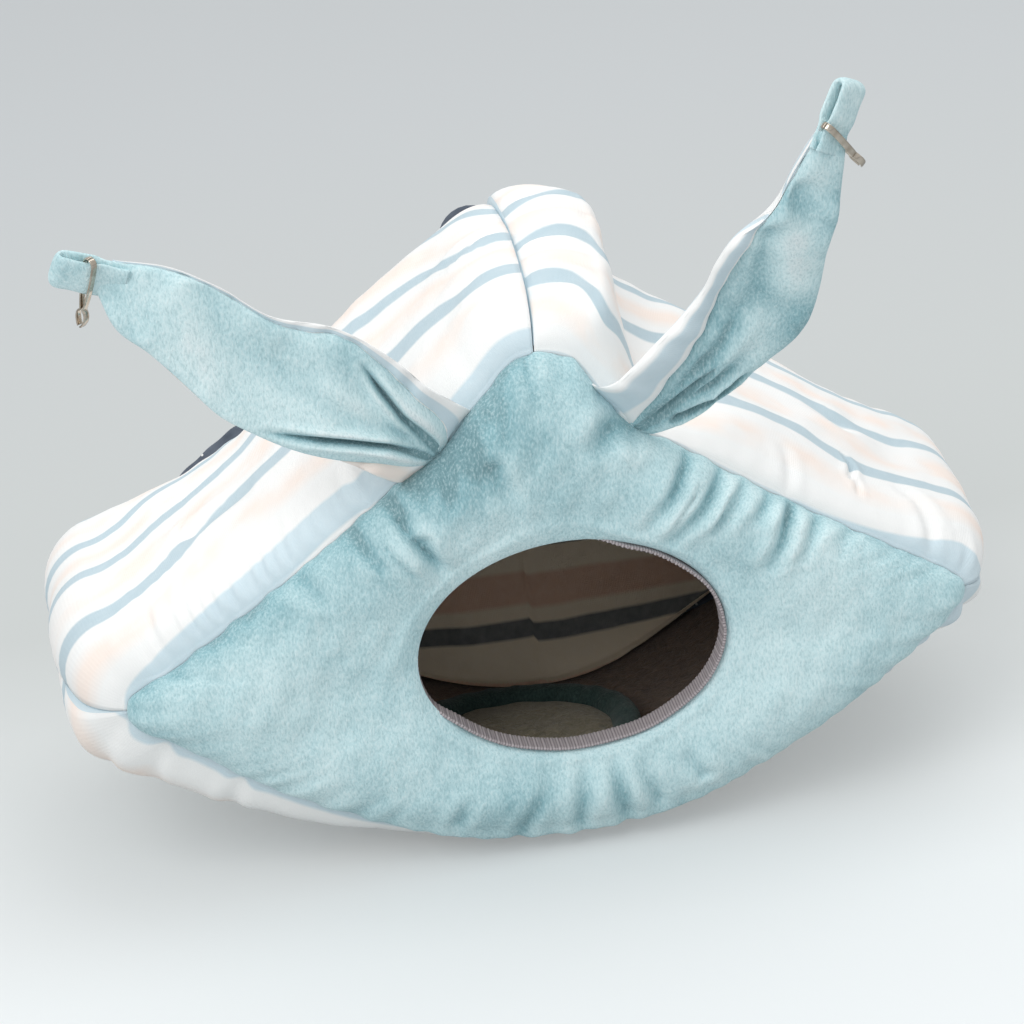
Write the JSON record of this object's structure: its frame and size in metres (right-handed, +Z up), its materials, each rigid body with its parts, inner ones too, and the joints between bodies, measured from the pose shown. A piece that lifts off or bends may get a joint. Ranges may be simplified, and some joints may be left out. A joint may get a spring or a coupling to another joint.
{
  "type": "hanging small animal house",
  "caption": "Padded tent-shaped hanging house for small pets, with an oval entrance, a rounded base, a loose floor cushion and ear-shaped straps that end in spring clips.",
  "frame": {"origin": "middle of the flat patch under the rounded base that the house rests on", "axes": "+Z up, +X across the house to the right of someone who looks into the entrance, -Y out of the entrance"},
  "size_m": [0.384, 0.2382, 0.3124],
  "materials": {
    "teal_plush": "short-pile plush, pale teal",
    "dark_plush": "short-pile plush, dark teal",
    "cream_fleece": "cream fleece",
    "brown_fleece": "taupe-brown fleece",
    "grey_tape": "ribbed grosgrain tape, warm grey",
    "slate_cotton": "slate cotton with fine specks",
    "striped_cotton": "white cotton with blush and light blue stripes",
    "wadding": "white polyester wadding",
    "nickel_steel": "nickel-plated spring steel strip"
  },
  "bodies": {
    "house": {"back_panel_cover": "slate_cotton", "back_panel_lining": "striped_cotton", "back_panel_wadding": "wadding", "base_cover": "striped_cotton", "base_wadding": "wadding", "entrance_binding": "grey_tape", "floor_lining": "brown_fleece", "front_panel_cover": "teal_plush", "front_panel_lining": "striped_cotton", "front_panel_wadding": "wadding", "left_ear_root": "teal_plush", "left_roof_cover": "striped_cotton", "left_roof_lining": "striped_cotton", "left_roof_wadding": "wadding", "right_ear_root": "teal_plush", "right_roof_cover": "striped_cotton", "right_roof_lining": "striped_cotton", "right_roof_wadding": "wadding"},
    "cushion": {"cushion_pad": "cream_fleece", "cushion_border": "dark_plush"},
    "left_ear": {"left_ear_face": "teal_plush", "left_ear_wadding": "wadding", "left_ear_back": "striped_cotton", "left_ear_loop": "teal_plush"},
    "right_ear": {"right_ear_face": "teal_plush", "right_ear_wadding": "wadding", "right_ear_back": "striped_cotton", "right_ear_loop": "teal_plush"},
    "left_rear_strap": {"left_rear_loop": "teal_plush"},
    "right_rear_strap": {"right_rear_loop": "teal_plush"},
    "left_ear_clip": {"left_ear_clip_back_leg": "nickel_steel"},
    "left_ear_clip_spring": {"left_ear_clip_spring_leg": "nickel_steel"},
    "right_ear_clip": {"right_ear_clip_back_leg": "nickel_steel"},
    "right_ear_clip_spring": {"right_ear_clip_spring_leg": "nickel_steel"},
    "left_rear_loop_clip": {"left_rear_loop_clip_back_leg": "nickel_steel"},
    "left_rear_loop_clip_spring": {"left_rear_loop_clip_spring_leg": "nickel_steel"},
    "right_rear_loop_clip": {"right_rear_loop_clip_back_leg": "nickel_steel"},
    "right_rear_loop_clip_spring": {"right_rear_loop_clip_spring_leg": "nickel_steel"}
  },
  "joints": [
    {"name": "cushion_lift", "type": "slide", "parent": "house", "child": "cushion", "axis": [0, 0, 1], "range_m": [0, 0.02]},
    {"name": "left_ear_swing", "type": "hinge", "parent": "house", "child": "left_ear", "pos_m": [-0.04097, -0.0805, 0.18121], "axis": [0, 1, 0], "range_deg": [-25, 53]},
    {"name": "right_ear_swing", "type": "hinge", "parent": "house", "child": "right_ear", "pos_m": [0.04097, -0.0805, 0.18121], "axis": [0, -1, 0], "range_deg": [-44, 34]},
    {"name": "left_rear_loop_swing", "type": "hinge", "parent": "house", "child": "left_rear_strap", "pos_m": [-0.05564, 0.0721, 0.17575], "axis": [0.7771, 0, 0.6293], "range_deg": [0, 90]},
    {"name": "right_rear_loop_swing", "type": "hinge", "parent": "house", "child": "right_rear_strap", "pos_m": [0.05564, 0.0721, 0.17575], "axis": [0.7771, 0, -0.6293], "range_deg": [0, 90]},
    {"name": "left_ear_clip_rock", "type": "hinge", "parent": "left_ear", "child": "left_ear_clip", "pos_m": [-0.15534, -0.09069, 0.26667], "axis": [0.0745, -0.9962, 0.0451], "range_deg": [-20, 3]},
    {"name": "left_ear_clip_open", "type": "hinge", "parent": "left_ear_clip", "child": "left_ear_clip_spring", "pos_m": [-0.15315, -0.09012, 0.27558], "axis": [-0.9684, -0.0615, 0.2415], "range_deg": [0, 10], "stiffness_Nm_per_rad": 0.02},
    {"name": "right_ear_clip_rock", "type": "hinge", "parent": "right_ear", "child": "right_ear_clip", "pos_m": [0.11328, -0.12391, 0.29754], "axis": [0.5714, -0.7956, -0.2013], "range_deg": [-1, 22]},
    {"name": "right_ear_clip_open", "type": "hinge", "parent": "right_ear_clip", "child": "right_ear_clip_spring", "pos_m": [0.10768, -0.1292, 0.30257], "axis": [-0.5507, -0.1899, -0.8128], "range_deg": [0, 10], "stiffness_Nm_per_rad": 0.02},
    {"name": "left_rear_loop_clip_rock", "type": "hinge", "parent": "left_rear_strap", "child": "left_rear_loop_clip", "pos_m": [-0.04961, 0.09157, 0.16831], "axis": [0.5154, -0.5738, -0.6365], "range_deg": [-20, 14]},
    {"name": "left_rear_loop_clip_open", "type": "hinge", "parent": "left_rear_loop_clip", "child": "left_rear_loop_clip_spring", "pos_m": [-0.04246, 0.09157, 0.1741], "axis": [-0.3611, -0.819, 0.4459], "range_deg": [0, 10], "stiffness_Nm_per_rad": 0.02},
    {"name": "right_rear_loop_clip_rock", "type": "hinge", "parent": "right_rear_strap", "child": "right_rear_loop_clip", "pos_m": [0.04961, 0.09157, 0.16831], "axis": [-0.5154, -0.5738, -0.6365], "range_deg": [-14, 20]},
    {"name": "right_rear_loop_clip_open", "type": "hinge", "parent": "right_rear_loop_clip", "child": "right_rear_loop_clip_spring", "pos_m": [0.04246, 0.09157, 0.1741], "axis": [-0.3611, 0.819, -0.4459], "range_deg": [0, 10], "stiffness_Nm_per_rad": 0.02}
  ]
}
